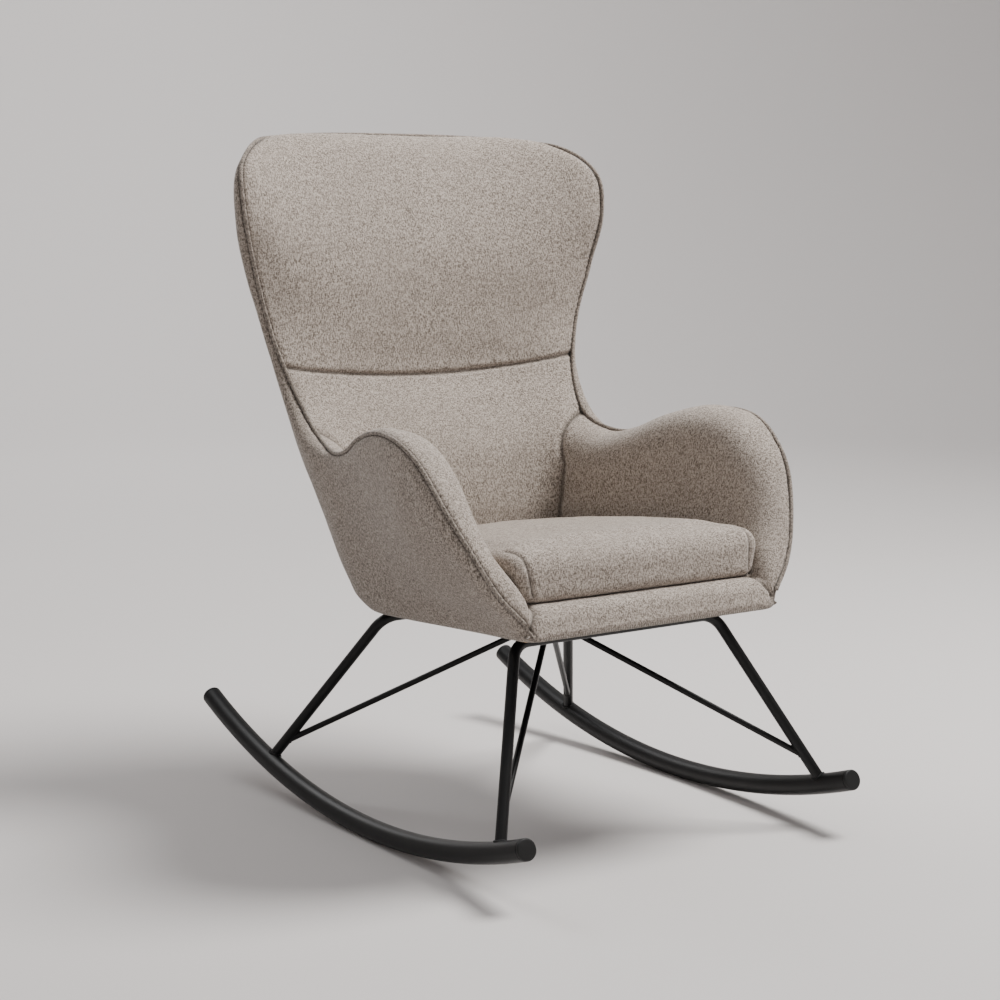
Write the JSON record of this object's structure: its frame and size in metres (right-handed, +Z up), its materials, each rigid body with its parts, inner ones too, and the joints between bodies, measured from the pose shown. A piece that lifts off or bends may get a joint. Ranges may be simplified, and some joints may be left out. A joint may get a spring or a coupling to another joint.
{
  "type": "rocking chair",
  "caption": "Upholstered high-back tub rocking chair with wings, rolled arms, loose seat cushion and piping, on a black bent steel rod base with round tube rockers.",
  "frame": {"origin": "centre of the chair's bounding box in plan, on the floor under the rockers", "axes": "+Z up, the chair faces -Y, +X is the sitter's left; the chair is symmetric about the plane x = 0"},
  "size_m": [0.6936, 0.8779, 1.0142],
  "materials": {
    "black_steel": "satin black powder coat",
    "bolt_steel": "black oxide",
    "cap_plastic": "moulded black plastic",
    "cushion_fabric": "warm grey-beige weave",
    "cushion_foam": "polyurethane foam",
    "deck_cloth": "plain lining cloth over foam",
    "dust_cloth": "black non-woven cloth",
    "inside_fabric": "warm grey-beige weave over foam",
    "outside_fabric": "warm grey-beige weave",
    "piping_fabric": "self-fabric piping",
    "plated_steel": "zinc plated",
    "plywood": "birch plywood"
  },
  "bodies": {
    "chair": {"arm_padding_left": "inside_fabric", "arm_padding_right": "inside_fabric", "arm_post_left": "plywood", "arm_post_right": "plywood", "arm_rib_left": "plywood", "arm_rib_right": "plywood", "back_padding_lumbar": "inside_fabric", "back_padding_upper": "inside_fabric", "back_rib_left": "plywood", "back_rib_right": "plywood", "brace_front_left": "black_steel", "brace_front_right": "black_steel", "brace_hub": "black_steel", "brace_rear_left": "black_steel", "brace_rear_right": "black_steel", "dust_cover": "dust_cloth", "frame_ring_arm": "plywood", "frame_ring_back": "plywood", "frame_ring_lumbar": "plywood", "frame_ring_seat": "plywood", "frame_ring_top": "plywood", "front_leg_frame": "black_steel", "front_rail_padding": "inside_fabric", "hub_screws": "bolt_steel", "mount_bolts": "bolt_steel", "mount_plate_front_left": "black_steel", "mount_plate_front_right": "black_steel", "mount_plate_rear_left": "black_steel", "mount_plate_rear_right": "black_steel", "outside_arm_cover_left": "outside_fabric", "outside_arm_cover_right": "outside_fabric", "outside_back_cover": "outside_fabric", "piping": "piping_fabric", "rear_leg_frame": "black_steel", "runner_cap_front_left": "cap_plastic", "runner_cap_front_right": "cap_plastic", "runner_cap_rear_left": "cap_plastic", "runner_cap_rear_right": "cap_plastic", "runner_left": "black_steel", "runner_right": "black_steel", "seat_deck_board": "plywood", "seat_pad": "deck_cloth", "tee_nuts": "plated_steel"},
    "cushion": {"cushion_cover": "cushion_fabric", "cushion_core": "cushion_foam"}
  },
  "joints": [
    {"name": "cushion_lift", "type": "slide", "parent": "chair", "child": "cushion", "axis": [0, 0, 1], "range_m": [0, 0.12]}
  ]
}
